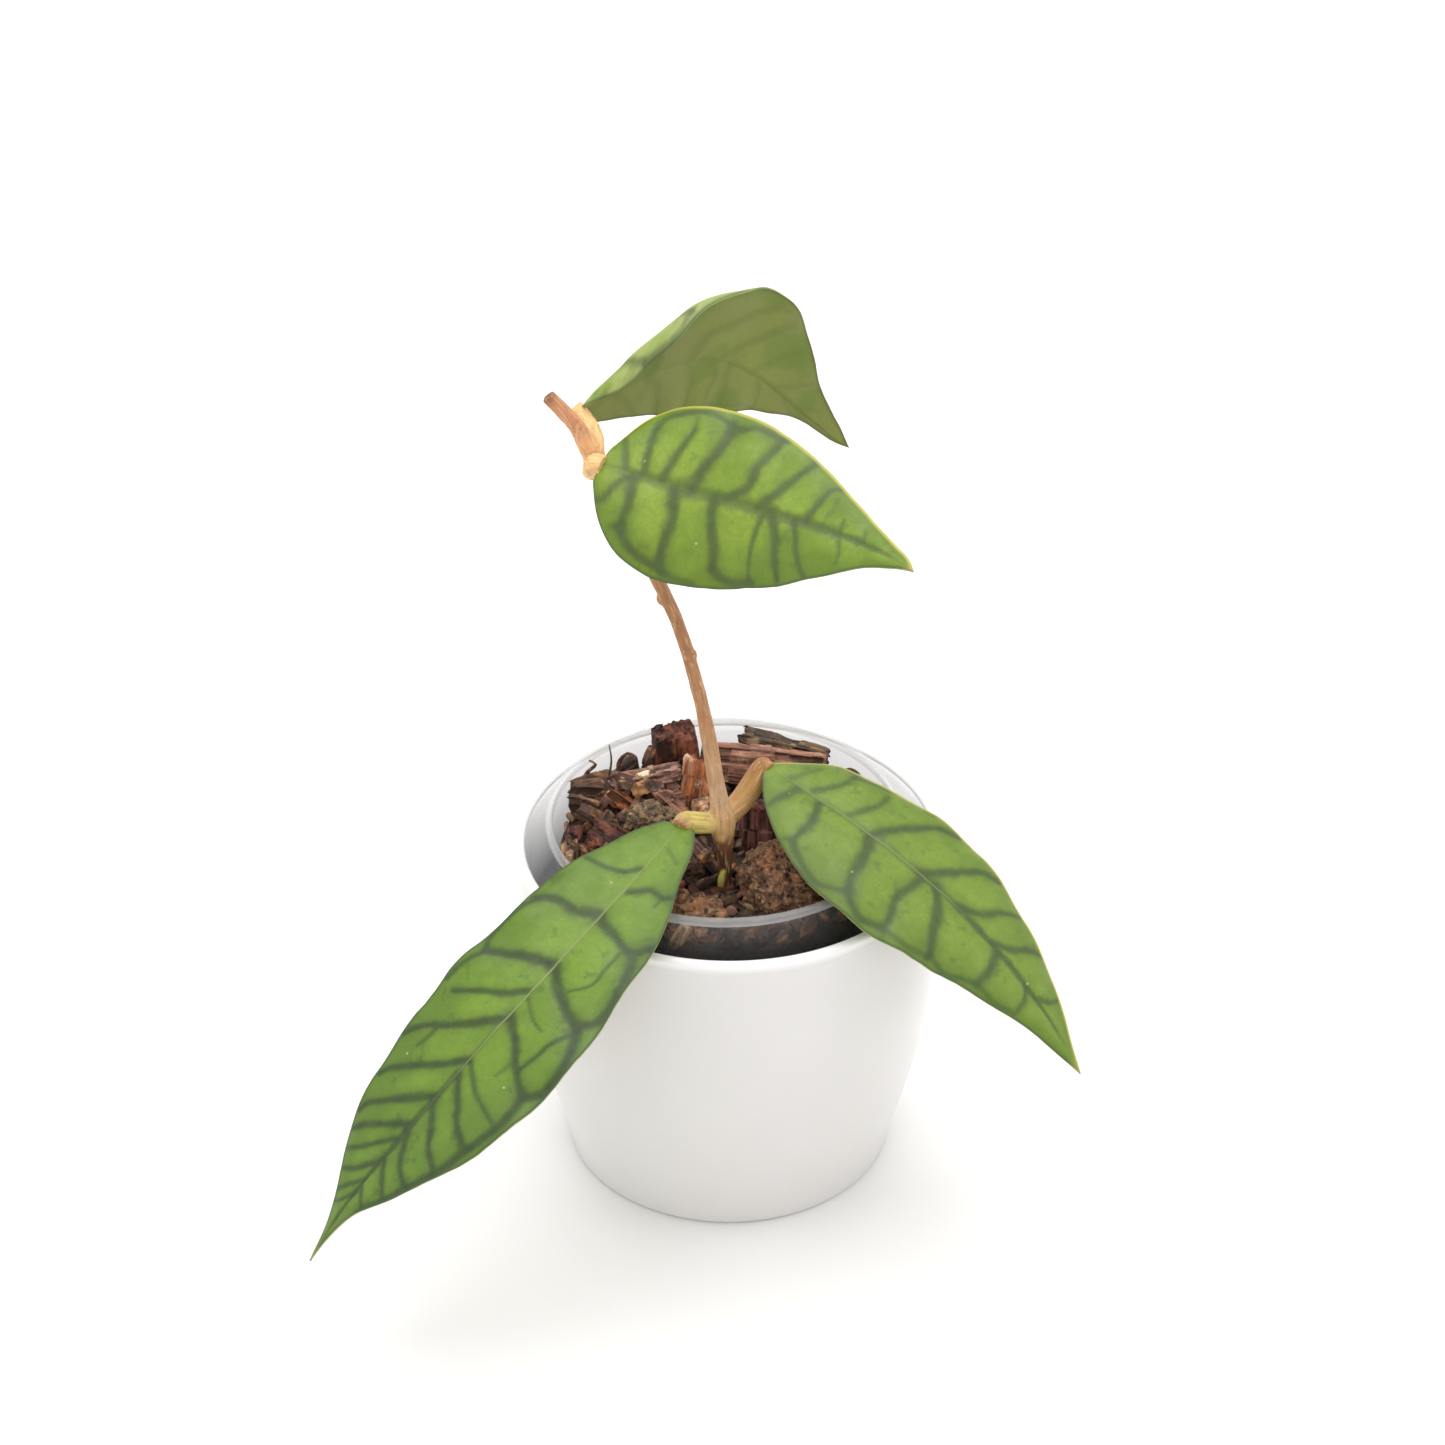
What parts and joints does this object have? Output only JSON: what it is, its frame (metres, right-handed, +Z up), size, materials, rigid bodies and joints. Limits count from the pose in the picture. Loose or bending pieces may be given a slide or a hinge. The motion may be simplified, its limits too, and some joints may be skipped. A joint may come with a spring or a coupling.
{
  "type": "potted hoya cutting",
  "caption": "Young hoya cutting with dark-veined pointed leaves on a bare stem, rooted in bark and lava in a clear grow pot inside a plain white cover pot.",
  "frame": {"origin": "centre of the cover pot's flat base", "axes": "+Z up along the cover pot's axis; -Y towards the side that the picture shows"},
  "size_m": [0.1625, 0.1304, 0.2071],
  "materials": {
    "cover": "white satin glaze with a glossy rim",
    "grow": "thin milky translucent plastic",
    "bark": "rough broken bark in reds and browns",
    "lava": "rough porous brown lava stone",
    "stem": "satin tan bark, green at the leaf stalks",
    "leaf": "satin waxy green leaf with a dark green vein pattern"
  },
  "bodies": {
    "root": {"cover_pot": "cover", "grow_pot": "grow", "bark_mix": "bark", "lava_stone_large": "lava", "lava_stone_front": "lava", "lava_stone_left": "lava", "lava_stone_dark": "lava", "lava_stone_right": "lava", "stem": "stem", "leaf_lower_left": "leaf", "leaf_lower_right": "leaf", "leaf_upper_front": "leaf", "leaf_upper_back": "leaf"}
  },
  "joints": []
}
